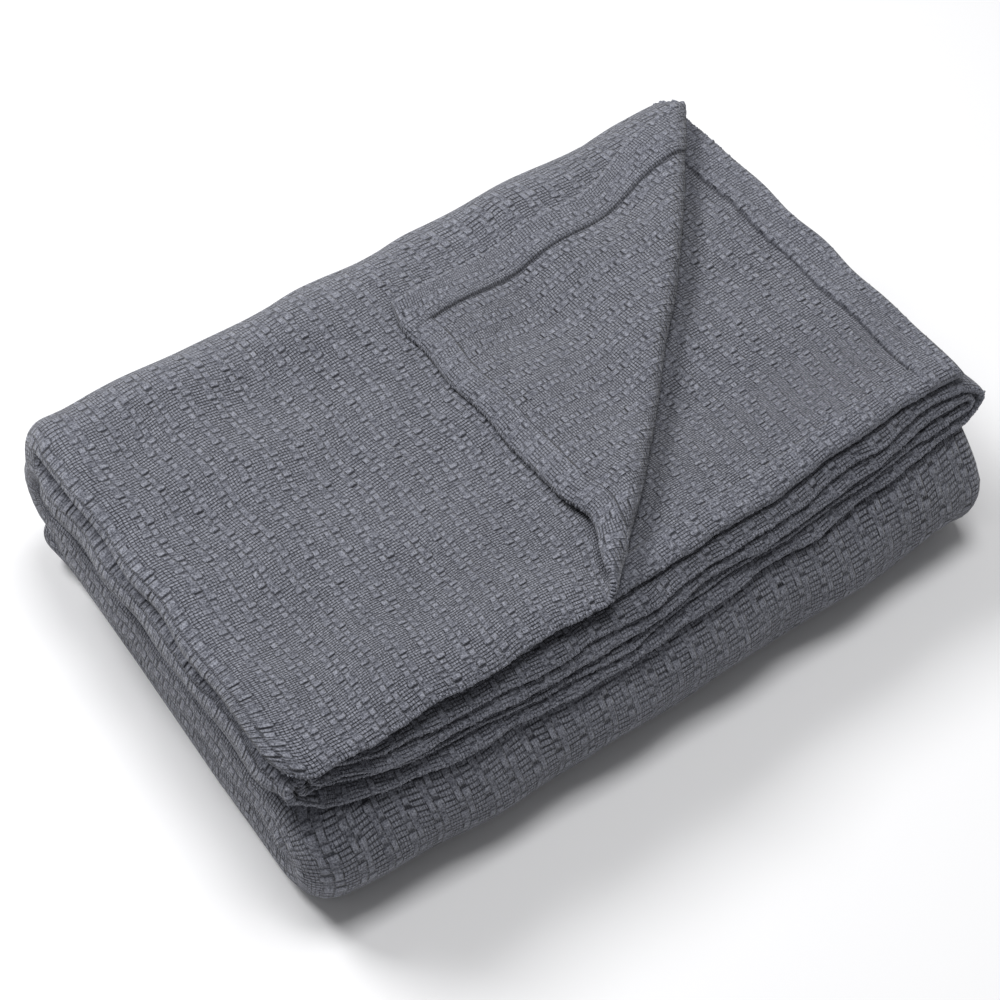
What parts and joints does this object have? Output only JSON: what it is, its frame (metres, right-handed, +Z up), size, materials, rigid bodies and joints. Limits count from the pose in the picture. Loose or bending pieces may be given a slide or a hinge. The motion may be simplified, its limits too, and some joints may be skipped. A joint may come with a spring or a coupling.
{
  "type": "folded cotton blanket",
  "caption": "Woven cotton blanket folded into a thick oblong pile, with its hemmed edges to the front and the top layer's corner turned back over the pile.",
  "frame": {"origin": "centre of the folded pile's outline, on the surface it rests on", "axes": "+X along the pile's long side to the hemmed ends, +Y from the free edges at the front to the back fold, +Z up"},
  "size_m": [0.4542, 0.3186, 0.1409],
  "materials": {
    "cotton": "matte slate blue-grey cotton in a small basket weave, slightly fuzzy"
  },
  "bodies": {
    "root": {"blanket": "cotton"}
  },
  "joints": []
}
